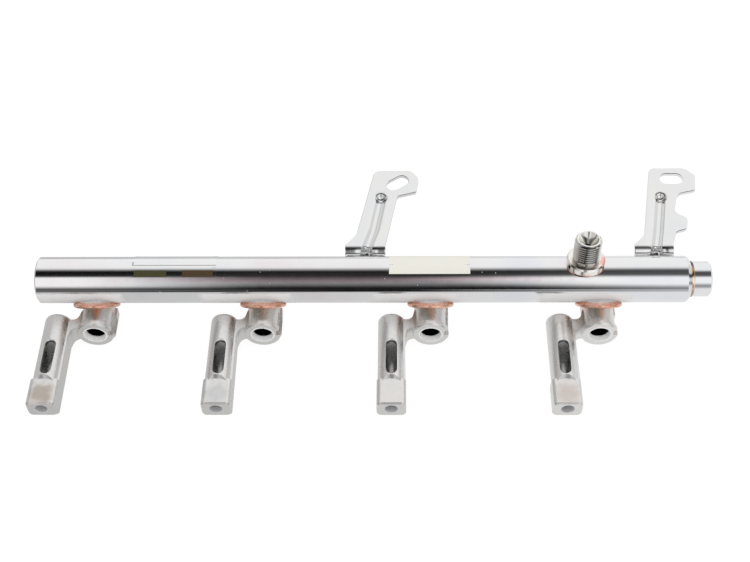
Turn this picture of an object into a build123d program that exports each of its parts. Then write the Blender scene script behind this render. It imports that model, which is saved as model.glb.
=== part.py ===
from build123d import *
import math
import os

# Fuel rail for a four-cylinder direct-injection engine.
# The origin lies on the four foot faces (Y = 0), on the line of the bolt holes (Z = 0),
# midway along them (X = 0). X runs along the rail, -Y is the way the injectors and
# bolts point, and +Z is the side of the fuel inlet. All sizes are in millimetres.

# Rail tube
tube_radius = 12.2
tube_wall = 3.0
tube_axis_y = 70.1
tube_axis_z = 15.9
tube_left = -141.3
tube_right = 199.0
tube_edge_chamfer = 0.8
tube_shoulder_length = 2.4
tube_lip_radius = 9.8

# Closed plug in the left end, brazed in its corner
plug_inset = 1.2
plug_length = 6.0
plug_dish_depth = 1.5
plug_dish_radius = 5.5
plug_braze_leg = 0.8

# Pressure-sensor port in the right end
port_inner_end = 186.0
port_outer_end = 209.6
port_chamfer = 0.9
port_thread_radius = 5.25
port_thread_depth = 11.0
port_seat_depth = 3.6
port_fuel_radius = 1.6
port_braze_width = 1.4

# Injector holders, one casting for each cylinder
cylinder_pitch = 88.0
holder_count = 4
post_to_cup = 20.4
post_radius = 7.05
post_top_y = 55.0
post_top_round = 1.4
bolt_hole_radius = 3.2
bolt_hole_chamfer = 0.25
bolt_seat_y = 12.5
head_bore_radius = 5.0
top_bore_radius = 5.45
bore_step_y = 40.0
top_bore_chamfer = 0.5
window_width = 5.8
window_bottom_y = 17.4
window_top_y = 37.8
window_edge_width = 0.55
foot_width = 14.9
foot_front_z = 5.2
foot_back_z = -6.2
foot_height = 15.0
foot_corner_radius = 2.4
foot_edge_chamfer = 0.8
foot_runout_radius = 9.0
foot_runout_draft = -38.0

# Arm and web that join the post to the cup
arm_front_z = 3.5
arm_back_z = -7.05
arm_edge_round = 0.7
web_side_x = 6.95
web_foot_x = 7.4
web_foot_y = 1.5
web_foot_round = 1.2

# Injector cup
cup_face_y = 45.8
cup_back_y = 66.5
cup_radius = 8.55
cup_back_round = 3.0
cup_rim_radius = 9.45
cup_rim_length = 2.7
cup_rim_chamfer = 0.5
cup_bore_radius = 5.0
cup_mouth_radius = 5.65
cup_lead_in = 2.4
cup_bore_depth = 13.0
cup_drill_tip = 2.6
keyway_floor_x = 7.15
keyway_low_z = -4.7
keyway_high_z = 3.5
keyway_end_y = 58.5
rim_notch_low_z = -0.2
lug_side_x = 9.4
lug_corner_z = -5.0
lug_corner_radius = 4.0
lug_start_y = 50.0
lug_end_y = 63.5

# Round saddle flange between cup and tube, 45 degrees below the injector axis
saddle_angle = 45.0
saddle_gap = 0.15
saddle_radius = 11.6
saddle_thickness = 1.6
saddle_braze_radius = 12.2
fuel_way_radius = 2.5

# Fuel inlet with an M14 thread and a conical seat, leaning 5 degrees back from +Z
inlet_x = 144.1
inlet_lean = 5.0
inlet_collar_radius = 9.85
inlet_collar_height = 3.6
inlet_collar_chamfer = 0.7
inlet_spigot_radius = 5.0
inlet_thread_radius = 7.0
inlet_relief_radius = 6.3
inlet_relief_length = 0.3
inlet_tip = 29.8
inlet_tip_chamfer = 0.9
inlet_seat_radius = 5.15
inlet_seat_depth = 5.4
inlet_way_radius = 1.75

# Pressed sheet brackets
sheet = 2.0
bracket_top_z = 23.0
bend_radius = 5.5
bracket_flange_bottom_z = 8.5
bracket_gap = 0.15
bracket_far_y = 150.0
bead_groove_radius = 2.6
bead_depth = 1.5
bead_head_radius = 3.3
bead_head_depth = 2.1
bead_wall = 1.7
bead_edge_round = 0.45
bracket_braze_half_height = 4.6
bracket_braze_depth = 2.0
bracket_braze_length = 19.0

# Labels
label_thickness = 0.12
label_corner = 2.2

tube_inner_radius = tube_radius - tube_wall
flange_face_y = tube_axis_y + tube_radius + bracket_gap
flat_start_y = flange_face_y + bend_radius
holder_line = [cylinder_pitch * (i - (holder_count - 1) / 2) for i in range(holder_count)]


def turned(profile, origin, direction, radial):
    """Solid of revolution: profile points are (radius, distance along direction)."""
    normal = Vector(*radial).cross(Vector(*direction))
    plane = Plane(origin=origin, x_dir=radial, z_dir=normal)
    face = plane * make_face(Polyline(*profile, close=True))
    return revolve(face, Axis(origin, direction), 360)


def rod(start, end, radius):
    """Cylinder from one point to another."""
    axis = Vector(*end) - Vector(*start)
    plane = Plane(origin=start, z_dir=axis)
    return extrude(plane * Circle(radius), amount=axis.length)


def outline(corners):
    """Closed outline in plan from (x, y, corner radius)."""
    points = [(x, y) for x, y, radius in corners]
    radii = [radius for x, y, radius in corners]
    return make_face(FilletPolyline(*points, radius=radii, close=True))


def tube_core():
    """The tube's outer volume, for trimming what is brazed on it."""
    return rod((tube_left, tube_axis_y, tube_axis_z), (tube_right, tube_axis_y, tube_axis_z), tube_radius)


def saddle_frame(cup_x):
    """Point on the tube axis above a cup, and the way down to the cup."""
    angle = math.radians(saddle_angle)
    return (cup_x, tube_axis_y, tube_axis_z), (0, -math.cos(angle), -math.sin(angle))


def inlet_frame():
    """Point on the tube axis under the inlet, and the inlet's own axis."""
    angle = math.radians(inlet_lean)
    return (inlet_x, tube_axis_y, tube_axis_z), (0, math.sin(angle), math.cos(angle))


def along(origin, direction, distance):
    """Point at a distance from an origin."""
    return tuple(o + distance * d for o, d in zip(origin, direction))


def cup_crossing():
    """Distance from the tube axis to the injector axis along the saddle's axis."""
    return tube_axis_z / math.sin(math.radians(saddle_angle))


def rail_tube():
    origin = (0, tube_axis_y, tube_axis_z)
    shoulder_drop = tube_radius - tube_lip_radius
    profile = [
        (tube_inner_radius, tube_left),
        (tube_radius - tube_edge_chamfer, tube_left),
        (tube_radius, tube_left + tube_edge_chamfer),
        (tube_radius, tube_right - tube_shoulder_length),
        (tube_radius - 0.3 * shoulder_drop, tube_right - 0.5 * tube_shoulder_length),
        (tube_lip_radius + 0.2 * shoulder_drop, tube_right - 0.1 * tube_shoulder_length),
        (tube_lip_radius, tube_right),
        (tube_inner_radius, tube_right),
    ]
    tube = turned(profile, origin, (1, 0, 0), (0, 0, 1))
    for post_x in holder_line:
        start, down = saddle_frame(post_x + post_to_cup)
        tube -= rod(start, along(start, down, tube_radius + 1), fuel_way_radius)
    start, up = inlet_frame()
    tube -= rod(start, along(start, up, tube_radius + 1), inlet_spigot_radius)
    return tube


def left_end_plug():
    face = tube_left + plug_inset
    profile = [
        (0, face + plug_dish_depth),
        (plug_dish_radius - plug_dish_depth, face + plug_dish_depth),
        (plug_dish_radius, face),
        (tube_inner_radius, face),
        (tube_inner_radius, face + plug_length),
        (0, face + plug_length),
    ]
    return turned(profile, (0, tube_axis_y, tube_axis_z), (1, 0, 0), (0, 0, 1))


def left_end_braze():
    face = tube_left + plug_inset
    profile = [
        (tube_inner_radius, face),
        (tube_inner_radius, face - plug_braze_leg),
        (tube_inner_radius - plug_braze_leg, face),
    ]
    return turned(profile, (0, tube_axis_y, tube_axis_z), (1, 0, 0), (0, 0, 1))


def sensor_port():
    seat_top = port_outer_end - port_thread_depth
    profile = [
        (port_fuel_radius, port_inner_end),
        (tube_inner_radius - port_chamfer, port_inner_end),
        (tube_inner_radius, port_inner_end + port_chamfer),
        (tube_inner_radius, port_outer_end - port_chamfer),
        (tube_inner_radius - port_chamfer, port_outer_end),
        (port_thread_radius + port_chamfer, port_outer_end),
        (port_thread_radius, port_outer_end - port_chamfer),
        (port_thread_radius, seat_top),
        (port_fuel_radius, seat_top - port_seat_depth),
    ]
    return turned(profile, (0, tube_axis_y, tube_axis_z), (1, 0, 0), (0, 0, 1))


def right_end_braze():
    profile = [
        (tube_inner_radius, tube_right),
        (tube_lip_radius - 0.1, tube_right),
        (tube_inner_radius + 0.35, tube_right + 0.7 * port_braze_width),
        (tube_inner_radius, tube_right + port_braze_width),
    ]
    return turned(profile, (0, tube_axis_y, tube_axis_z), (1, 0, 0), (0, 0, 1))


def foot_runout(depth):
    """Cutter for the flat on one face of the foot, with its arched, sloping end."""
    reach = foot_height - foot_runout_radius
    stem = Pos(0, reach / 2 - 10) * Rectangle(2 * foot_runout_radius, reach + 20)
    flat = Pos(0, reach) * Circle(foot_runout_radius) + stem
    return extrude(Pos(0, 0, depth) * flat, amount=6, taper=foot_runout_draft)


def holder_post():
    """Round post with a flat-sided foot."""
    profile = [
        (0, 1),
        (post_radius, 1),
        (post_radius, post_top_y - post_top_round),
        (post_radius - 0.3 * post_top_round, post_top_y - 0.3 * post_top_round),
        (post_radius - post_top_round, post_top_y),
        (0, post_top_y),
    ]
    post = turned(profile, (0, 0, 0), (0, 1, 0), (1, 0, 0))
    post -= foot_runout(foot_front_z)
    post -= mirror(foot_runout(-foot_back_z), Plane.XY)
    return post


def holder_foot():
    middle_z = (foot_front_z + foot_back_z) / 2
    depth = foot_front_z - foot_back_z
    foot_plane = Plane(origin=(0, 0, middle_z), x_dir=(1, 0, 0), z_dir=(0, 1, 0))
    foot = extrude(foot_plane * RectangleRounded(foot_width, depth, foot_corner_radius), amount=foot_height)
    return chamfer(foot.faces().sort_by(Axis.Y)[0].edges(), foot_edge_chamfer)


def holder_arm():
    """Arm with a notch above and a hollow below, running down the post as a web."""
    corners = [
        (0, web_foot_y, 0),
        (web_foot_x, web_foot_y, web_foot_round),
        (web_side_x, 42.5, 5.0),
        (8.6, 48.3, 4.0),
        (post_to_cup, 48.3, 0),
        (post_to_cup, 62.0, 0),
        (12.2, 60.0, 3.0),
        (10.6, 53.3, 3.4),
        (post_radius + 0.2, 53.3, 1.2),
        (3.0, 54.2, 0),
        (0, 54.2, 0),
    ]
    plan = outline(corners)
    return extrude(Pos(0, 0, arm_back_z) * plan, amount=arm_front_z - arm_back_z)


def cup_body():
    """Cup with a rim at its mouth, cut back under the saddle flange."""
    profile = [
        (0, cup_face_y),
        (cup_rim_radius - cup_rim_chamfer, cup_face_y),
        (cup_rim_radius, cup_face_y + cup_rim_chamfer),
        (cup_rim_radius, cup_face_y + cup_rim_length),
        (cup_radius, cup_face_y + cup_rim_length),
        (cup_radius, cup_back_y - cup_back_round),
        (cup_radius - 0.3 * cup_back_round, cup_back_y - 0.3 * cup_back_round),
        (cup_radius - cup_back_round, cup_back_y),
        (0, cup_back_y),
    ]
    return turned(profile, (post_to_cup, 0, 0), (0, 1, 0), (1, 0, 0))


def cup_lug():
    """Lug with one round corner that runs along the cup under its keyway."""
    corner_x = lug_side_x - lug_corner_radius
    side = Pos(lug_side_x / 2, lug_corner_z / 2) * Rectangle(lug_side_x, -lug_corner_z)
    low_z = lug_corner_z - lug_corner_radius / 2
    low = Pos(corner_x / 2, low_z) * Rectangle(corner_x, lug_corner_radius)
    section = side + low + Pos(corner_x, lug_corner_z) * Circle(lug_corner_radius)
    plane = Plane(origin=(post_to_cup, lug_end_y, 0), x_dir=(1, 0, 0), z_dir=(0, -1, 0))
    return extrude(plane * section, amount=lug_end_y - lug_start_y)


def saddle_flange():
    start, down = saddle_frame(post_to_cup)
    top = tube_radius + saddle_gap
    bottom = top + saddle_thickness
    profile = [
        (0, top),
        (saddle_radius, top),
        (saddle_radius, bottom),
        (0, bottom),
    ]
    return turned(profile, start, down, (1, 0, 0))


def above_saddle():
    """What lies on the tube's side of the flange's top, which the casting never enters."""
    start, down = saddle_frame(post_to_cup)
    return rod(along(start, down, -30), along(start, down, tube_radius + saddle_gap), 60)


def cup_hollow():
    """Stepped bore with a drill tip, and the fuel way up to the flange."""
    bore_end = cup_face_y + cup_bore_depth
    profile = [
        (0, cup_face_y - 1),
        (cup_mouth_radius + 0.3, cup_face_y - 1),
        (cup_mouth_radius, cup_face_y),
        (cup_bore_radius, cup_face_y + cup_lead_in),
        (cup_bore_radius, bore_end),
        (0, bore_end + cup_drill_tip),
    ]
    bore = turned(profile, (post_to_cup, 0, 0), (0, 1, 0), (1, 0, 0))
    start, down = saddle_frame(post_to_cup)
    return bore + rod(start, along(start, down, cup_crossing()), fuel_way_radius)


def keyway():
    """Slot in the cup's flank that keeps the injector from turning, with a notch through the rim."""
    corner = (Align.MIN, Align.MIN, Align.MIN)
    rim_back_y = cup_face_y + cup_rim_length
    slot = Box(6, keyway_end_y - rim_back_y, keyway_high_z - keyway_low_z, align=corner)
    notch = Box(6, cup_rim_length + 2, keyway_high_z - rim_notch_low_z, align=corner)
    floor_x = post_to_cup + keyway_floor_x
    return Pos(floor_x, rim_back_y, keyway_low_z) * slot + Pos(floor_x, cup_face_y - 2, rim_notch_low_z) * notch


def post_hollow():
    """Stepped bolt bore, open at both ends."""
    profile = [
        (0, -1),
        (bolt_hole_radius + bolt_hole_chamfer, -1),
        (bolt_hole_radius + bolt_hole_chamfer, 0),
        (bolt_hole_radius, bolt_hole_chamfer),
        (bolt_hole_radius, bolt_seat_y),
        (head_bore_radius, bolt_seat_y),
        (head_bore_radius, bore_step_y),
        (top_bore_radius, bore_step_y),
        (top_bore_radius, post_top_y - top_bore_chamfer),
        (top_bore_radius + top_bore_chamfer, post_top_y),
        (top_bore_radius + top_bore_chamfer, post_top_y + 1),
        (0, post_top_y + 1),
    ]
    return turned(profile, (0, 0, 0), (0, 1, 0), (1, 0, 0))


def post_window():
    """Round-ended window in the post, with a bevelled edge."""
    length = window_top_y - window_bottom_y
    middle = (window_top_y + window_bottom_y) / 2
    slot = Pos(0, middle, 0) * Rot(0, 0, 90) * SlotOverall(length, window_width)
    opening = extrude(slot, amount=post_radius + 1)
    bevel_z = post_radius - window_edge_width
    flare = extrude(Pos(0, 0, bevel_z) * slot, amount=window_edge_width + 0.6, taper=-50)
    return opening + flare


def injector_holder():
    """One holder casting, with its post axis at X = 0."""
    body = holder_post() + holder_foot() + holder_arm() + cup_body() + cup_lug()
    body -= above_saddle()
    body += saddle_flange()
    body -= post_hollow()
    body -= post_window()
    body -= cup_hollow()
    body -= keyway()
    return body


def holder_braze():
    """Copper that fills the saddle joint and covers the flange's edge, with the cup at X = 0."""
    start, down = saddle_frame(0)
    top = tube_radius + saddle_gap
    bottom = top + saddle_thickness
    profile = [
        (fuel_way_radius, top),
        (saddle_radius, top),
        (saddle_radius, bottom),
        (saddle_braze_radius - 0.25, bottom - 0.25),
        (saddle_braze_radius, bottom - 0.8),
        (saddle_braze_radius - 0.1, top + 0.1),
        (11.7, top - 0.1),
        (10.5, top - 0.9),
        (9.0, top - 1.7),
        (7.5, top - 2.5),
        (6.0, top - 3.2),
        (fuel_way_radius, top - 3.2),
    ]
    return turned(profile, start, down, (1, 0, 0)) - tube_core()


def inlet_fitting():
    start, up = inlet_frame()
    collar_bottom = tube_radius + saddle_gap
    collar_top = collar_bottom + inlet_collar_height
    relief_top = collar_top + inlet_relief_length
    profile = [
        (inlet_way_radius, tube_inner_radius),
        (inlet_spigot_radius, tube_inner_radius),
        (inlet_spigot_radius, collar_bottom),
        (inlet_collar_radius, collar_bottom),
        (inlet_collar_radius, collar_top - inlet_collar_chamfer),
        (inlet_collar_radius - inlet_collar_chamfer, collar_top),
        (inlet_relief_radius, collar_top),
        (inlet_relief_radius, relief_top),
        (inlet_thread_radius, relief_top + inlet_thread_radius - inlet_relief_radius),
        (inlet_thread_radius, inlet_tip - inlet_tip_chamfer),
        (inlet_thread_radius - inlet_tip_chamfer, inlet_tip),
        (inlet_seat_radius, inlet_tip),
        (inlet_way_radius, inlet_tip - inlet_seat_depth),
    ]
    return turned(profile, start, up, (1, 0, 0))


def inlet_braze():
    start, up = inlet_frame()
    top = tube_radius + saddle_gap
    profile = [
        (inlet_spigot_radius, top),
        (inlet_collar_radius - 0.1, top),
        (8.4, top - 0.9),
        (7.2, top - 2.2),
        (6.6, top - 4.0),
        (inlet_spigot_radius, top - 4.0),
    ]
    return turned(profile, start, up, (1, 0, 0)) - tube_core()


def bend_strip(left, right):
    """Down-turned flange against the tube and the bend up to the flat plate."""
    centre_z = bracket_top_z - bend_radius
    outer = Pos(flat_start_y, centre_z) * Circle(bend_radius)
    inner = Pos(flat_start_y, centre_z) * Circle(bend_radius - sheet)
    quarter = Pos(flat_start_y - bend_radius / 2, centre_z + bend_radius / 2) * Rectangle(bend_radius, bend_radius)
    flange_height = centre_z - bracket_flange_bottom_z
    flange = Pos(flange_face_y + sheet / 2, centre_z - flange_height / 2) * Rectangle(sheet, flange_height)
    section = ((outer - inner) & quarter) + flange
    plane = Plane(origin=(left, 0, 0), x_dir=(0, 1, 0), z_dir=(1, 0, 0))
    return extrude(plane * section, amount=right - left)


def under_sheet(left, right):
    """Everything behind the bracket's outer surface, to trim the bead's rib."""
    centre_z = bracket_top_z - bend_radius
    block = Pos((flange_face_y + bracket_far_y) / 2, (bracket_top_z - 20) / 2) * Rectangle(
        bracket_far_y - flange_face_y, bracket_top_z + 20
    )
    corner = Pos(flange_face_y + bend_radius / 2, bracket_top_z - bend_radius / 2) * Rectangle(
        bend_radius, bend_radius
    )
    rounded = block - corner + Pos(flat_start_y, centre_z) * Circle(bend_radius)
    plane = Plane(origin=(left, 0, 0), x_dir=(0, 1, 0), z_dir=(1, 0, 0))
    return extrude(plane * rounded, amount=right - left)


def capsule(start, end, radius):
    """Round bar with ball ends."""
    return rod(start, end, radius) + Pos(*start) * Sphere(radius) + Pos(*end) * Sphere(radius)


def bead_shape(path, grow):
    """Pressed bead along the plate and over the bend, with a rounder head."""
    axis_z = bracket_top_z - bead_depth + bead_groove_radius
    head_z = bracket_top_z - bead_head_depth + bead_head_radius
    knots = [(x, y, axis_z) for x, y in path]
    knee_x, knee_y = path[-1]
    knots.append((knee_x - 0.3, knee_y - 4.4, axis_z - 4.4))
    shape = Pos(*path[0], head_z) * Sphere(bead_head_radius + grow)
    for start, end in zip(knots, knots[1:]):
        shape += capsule(start, end, bead_groove_radius + grow)
    return shape


def bracket(corners, bead_path, slot_centre, slot_angle, slot_size):
    """Pressed bracket: plate, bend, flange, bead and slotted eye."""
    left = corners[0][0]
    right = corners[-1][0]
    plate = extrude(Pos(0, 0, bracket_top_z - sheet) * outline(corners), amount=sheet)
    body = plate + bend_strip(left, right)
    body += bead_shape(bead_path, bead_wall) & under_sheet(left - 30, right + 40)
    bead = bead_shape(bead_path, 0)
    pressed = body - bead
    pressed = fillet(new_edges(body, bead, combined=pressed), bead_edge_round)
    slot = Pos(*slot_centre, bracket_top_z - 2 * sheet) * Rot(0, 0, slot_angle) * SlotOverall(*slot_size)
    return pressed - extrude(slot, amount=3 * sheet)


def center_bracket():
    corners = [
        (19.4, flat_start_y, 0),
        (25.2, 95.0, 9.0),
        (34.3, 141.7, 4.5),
        (54.6, 141.7, 4.0),
        (58.9, 136.0, 4.0),
        (57.4, 125.4, 1.5),
        (46.9, 122.4, 3.0),
        (40.8, flat_start_y, 0),
    ]
    bead_path = [(38.1, 121.2), (34.4, 99.0), (30.9, 87.2)]
    return bracket(corners, bead_path, (47.2, 132.4), 35.0, (13.0, 7.2))


def end_bracket():
    corners = [
        (172.0, flat_start_y, 0),
        (178.0, 94.5, 7.0),
        (186.4, 142.9, 3.5),
        (206.0, 142.9, 5.0),
        (211.2, 137.5, 3.0),
        (209.6, 126.2, 2.2),
        (199.4, 123.6, 5.0),
        (196.1, 110.4, 4.0),
        (202.8, 106.6, 2.8),
        (201.2, 98.5, 3.0),
        (195.1, 96.4, 3.0),
        (192.6, flat_start_y, 0),
    ]
    bead_path = [(190.2, 121.2), (186.1, 98.0), (183.8, 87.2)]
    return bracket(corners, bead_path, (197.6, 134.9), 0.0, (12.6, 7.4))


def bracket_braze(centre_x):
    """Copper in the two wedges between the tube's back and a bracket's flange."""
    centre = (centre_x, flange_face_y - bracket_braze_depth / 2, tube_axis_z - 0.3)
    block = Box(bracket_braze_length, bracket_braze_depth, 2 * bracket_braze_half_height)
    return Pos(*centre) * block - tube_core()


def label_corner_cutter(x, angle, x_sign, angle_sign):
    """What rounds one corner of a label, cut along the tube's radius there."""
    turn = math.radians(angle) - angle_sign * label_corner / tube_radius
    radial = (0, -math.cos(turn), math.sin(turn))
    origin = (x - x_sign * label_corner, tube_axis_y, tube_axis_z)
    plane = Plane(origin=origin, x_dir=(1, 0, 0), z_dir=radial)
    tangent_sign = -angle_sign
    size = label_corner + 1
    square = Pos(x_sign * size / 2, tangent_sign * size / 2) * Rectangle(size, size)
    return extrude(plane * (square - Circle(label_corner)), amount=2 * tube_radius)


def label(left, right, start_angle, end_angle):
    """Thin round-cornered label wrapped on the tube; angles rise from -Y over the top."""
    start = (left, tube_axis_y, tube_axis_z)
    end = (right, tube_axis_y, tube_axis_z)
    wrap = rod(start, end, tube_radius + label_thickness) - rod(start, end, tube_radius)
    reach = 3 * tube_radius
    steps = 4
    points = [(0, 0)]
    for i in range(steps + 1):
        angle = math.radians(start_angle + (end_angle - start_angle) * i / steps)
        points.append((-reach * math.cos(angle), reach * math.sin(angle)))
    plane = Plane(origin=start, x_dir=(0, 1, 0), z_dir=(1, 0, 0))
    wrap &= extrude(plane * make_face(Polyline(*points, close=True)), amount=right - left)
    for x, x_sign in ((left, -1), (right, 1)):
        for angle, angle_sign in ((start_angle, -1), (end_angle, 1)):
            wrap -= label_corner_cutter(x, angle, x_sign, angle_sign)
    return wrap


def main():
    os.makedirs("parts", exist_ok=True)
    nodes = {
        "rail_tube": rail_tube(),
        "left_end_plug": left_end_plug(),
        "left_end_braze": left_end_braze(),
        "sensor_port": sensor_port(),
        "right_end_braze": right_end_braze(),
        "inlet_fitting": inlet_fitting(),
        "inlet_braze": inlet_braze(),
        "center_bracket": center_bracket(),
        "end_bracket": end_bracket(),
        "center_bracket_braze": bracket_braze(30.1),
        "end_bracket_braze": bracket_braze(182.3),
        "cream_label": label(42.8, 84.6, 65, 165),
        "clear_label": label(-91.0, -46.8, 57, 160),
    }
    holder = injector_holder()
    braze = holder_braze()
    for i, post_x in enumerate(holder_line):
        nodes[f"injector_holder_{i + 1}"] = Pos(post_x, 0, 0) * holder
        nodes[f"holder_braze_{i + 1}"] = Pos(post_x + post_to_cup, 0, 0) * braze
    for name, shape in nodes.items():
        export_step(shape, f"parts/{name}.step")
        print(name, "solids", len(shape.solids()), "volume", round(shape.volume, 1))


main()
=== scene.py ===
import bpy
import math
from mathutils import Matrix, Vector


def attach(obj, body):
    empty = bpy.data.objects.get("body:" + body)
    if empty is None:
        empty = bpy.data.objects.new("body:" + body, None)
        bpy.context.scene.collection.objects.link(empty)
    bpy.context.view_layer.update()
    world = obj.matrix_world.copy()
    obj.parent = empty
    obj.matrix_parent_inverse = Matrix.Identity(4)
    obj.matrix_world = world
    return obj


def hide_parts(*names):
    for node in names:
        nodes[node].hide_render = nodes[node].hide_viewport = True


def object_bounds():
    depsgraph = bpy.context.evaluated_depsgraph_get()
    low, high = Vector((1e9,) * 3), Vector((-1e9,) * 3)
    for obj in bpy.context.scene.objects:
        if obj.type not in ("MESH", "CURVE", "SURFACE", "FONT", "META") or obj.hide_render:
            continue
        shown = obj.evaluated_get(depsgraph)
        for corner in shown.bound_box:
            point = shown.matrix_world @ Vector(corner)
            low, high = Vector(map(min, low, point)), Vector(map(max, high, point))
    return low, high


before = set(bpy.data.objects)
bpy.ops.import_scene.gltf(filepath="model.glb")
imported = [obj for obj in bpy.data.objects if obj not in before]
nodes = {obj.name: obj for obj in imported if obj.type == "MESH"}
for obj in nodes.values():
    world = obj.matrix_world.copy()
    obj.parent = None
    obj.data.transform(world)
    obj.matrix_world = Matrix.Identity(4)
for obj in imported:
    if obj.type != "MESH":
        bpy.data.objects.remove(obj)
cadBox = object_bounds()
print("frame loaded:", len(nodes), "nodes")

mm = 0.001
postX = [-132 * mm, -44 * mm, 44 * mm, 132 * mm]
cupShift = 20.4 * mm
cupX = [x + cupShift for x in postX]
tubeAxis = (0, 70.1 * mm, 15.9 * mm)
saddleAngle = 45  # degrees that each saddle lies below the front of the tube
latheSides = 96
mergeGap = 0.01 * mm
smoothAngle = 32  # edges that turn less than this look smooth


def onAxis(x):
    return (x, tubeAxis[1], tubeAxis[2])


def bareTree(owner, output):  # the owner's node tree with its output node alone
    owner.use_nodes = True
    tree = owner.node_tree
    tree.nodes.clear()
    return tree, tree.nodes.new(output)


def newMaterial(name):
    mat = bpy.data.materials.new(name)
    tree, out = bareTree(mat, "ShaderNodeOutputMaterial")
    shader = tree.nodes.new("ShaderNodeBsdfPrincipled")
    tree.links.new(shader.outputs["BSDF"], out.inputs["Surface"])
    coord = tree.nodes.new("ShaderNodeTexCoord")
    return mat, tree, shader, coord.outputs["Object"]


def newGroup(name, inputs, outputs):
    group = bpy.data.node_groups.new(name, "ShaderNodeTree")
    for label, kind, value in inputs:
        sock = group.interface.new_socket(name=label, in_out="INPUT", socket_type=kind)
        if value is not None:
            sock.default_value = value
    for label, kind in outputs:
        group.interface.new_socket(name=label, in_out="OUTPUT", socket_type=kind)
    return group, group.nodes.new("NodeGroupInput"), group.nodes.new("NodeGroupOutput")


def placeGroup(tree, group, values, vector):
    node = tree.nodes.new("ShaderNodeGroup")
    node.node_tree = group
    tree.links.new(vector, node.inputs["Vector"])
    for label, value in values.items():
        node.inputs[label].default_value = value
    return node.outputs


def plug(tree, value, socket):
    if isinstance(value, (int, float, tuple)):
        socket.default_value = value
    else:
        tree.links.new(value, socket)


def mathNode(tree, operation, a, b=None):
    node = tree.nodes.new("ShaderNodeMath")
    node.operation = operation
    plug(tree, a, node.inputs[0])
    if b is not None:
        plug(tree, b, node.inputs[1])
    return node.outputs[0]


def vectorNode(tree, operation, a, b=None):
    node = tree.nodes.new("ShaderNodeVectorMath")
    node.operation = operation
    plug(tree, a, node.inputs[0])
    if b is not None:
        plug(tree, b, node.inputs[1])
    return node.outputs["Value" if operation == "LENGTH" else "Vector"]


def fadeNode(tree, value, start, end):
    node = tree.nodes.new("ShaderNodeMapRange")
    node.interpolation_type = "SMOOTHSTEP"
    for socket, given in zip(("Value", "From Min", "From Max"), (value, start, end)):
        plug(tree, given, node.inputs[socket])
    return node.outputs[0]


def mixColour(tree, mask, a, b):  # sockets 6, 7 and 2 are the mix node's colour sockets
    node = tree.nodes.new("ShaderNodeMix")
    node.data_type = "RGBA"
    plug(tree, mask, node.inputs["Factor"])
    plug(tree, a, node.inputs[6])
    plug(tree, b, node.inputs[7])
    return node.outputs[2]


def rampNode(tree, value, stops):
    node = tree.nodes.new("ShaderNodeValToRGB")
    ramp = node.color_ramp
    while len(ramp.elements) < len(stops):
        ramp.elements.new(0.5)
    for element, (place, colour) in zip(ramp.elements, stops):
        element.position = place
        element.color = colour
    tree.links.new(value, node.inputs[0])
    return node.outputs[0]


def noiseNode(tree, vector, scale, detail=2.0):
    node = tree.nodes.new("ShaderNodeTexNoise")
    tree.links.new(vector, node.inputs["Vector"])
    plug(tree, scale, node.inputs["Scale"])
    node.inputs["Detail"].default_value = detail
    return node.outputs["Fac"]


def raggedNode(tree, vector, scale, detail=2.0):  # noise about zero
    return mathNode(tree, "SUBTRACT", noiseNode(tree, vector, scale, detail), 0.5)


def splitNode(tree, vector):
    node = tree.nodes.new("ShaderNodeSeparateXYZ")
    tree.links.new(vector, node.inputs[0])
    return node.outputs


def turnNode(tree, vector, degrees):  # turns a place about the X axis
    node = tree.nodes.new("ShaderNodeVectorRotate")
    node.rotation_type = "X_AXIS"
    node.inputs["Angle"].default_value = math.radians(degrees)
    tree.links.new(vector, node.inputs["Vector"])
    return node.outputs[0]


def frontAngle(tree, split):  # degrees about the rail's length: 0 faces the front, 90 faces up
    front = mathNode(tree, "MULTIPLY", split["Y"], -1.0)
    return mathNode(tree, "MULTIPLY", mathNode(tree, "ARCTAN2", split["Z"], front), 180 / math.pi)


def grey(level):
    return (level, level, level, 1)


cloudDetail = 3.0


def makeHeatTint():  # slow drift of a plated colour between a cool and a warm one
    group, gin, gout = newGroup(
        "heatTint",
        [("Vector", "NodeSocketVector", None), ("Base", "NodeSocketColor", grey(0.8)),
         ("Cool", "NodeSocketColor", (0.7, 0.75, 0.85, 1)),
         ("Warm", "NodeSocketColor", (0.85, 0.75, 0.75, 1)),
         ("Scale", "NodeSocketFloat", 30.0), ("Amount", "NodeSocketFloat", 0.5)],
        [("Colour", "NodeSocketColor")],
    )
    middle, spread = 0.5, 0.2
    cloud = noiseNode(group, gin.outputs["Vector"], gin.outputs["Scale"], cloudDetail)
    cool = mathNode(group, "MULTIPLY", fadeNode(group, cloud, middle, middle - spread), gin.outputs["Amount"])
    warm = mathNode(group, "MULTIPLY", fadeNode(group, cloud, middle, middle + spread), gin.outputs["Amount"])
    tinted = mixColour(group, cool, gin.outputs["Base"], gin.outputs["Cool"])
    tinted = mixColour(group, warm, tinted, gin.outputs["Warm"])
    group.links.new(tinted, gout.inputs["Colour"])
    return group


def makeFineGrain():  # two sizes of grain, and the coarse one alone as a mask
    group, gin, gout = newGroup(
        "fineGrain",
        [("Vector", "NodeSocketVector", None), ("Coarse", "NodeSocketFloat", 400.0),
         ("Fine", "NodeSocketFloat", 1800.0)],
        [("Height", "NodeSocketFloat"), ("Mask", "NodeSocketFloat")],
    )
    coarse = noiseNode(group, gin.outputs["Vector"], gin.outputs["Coarse"])
    fine = noiseNode(group, gin.outputs["Vector"], gin.outputs["Fine"])
    fineShare = 0.5
    both = mathNode(group, "ADD", coarse, mathNode(group, "MULTIPLY", fine, fineShare))
    group.links.new(both, gout.inputs["Height"])
    group.links.new(coarse, gout.inputs["Mask"])
    return group


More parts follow.
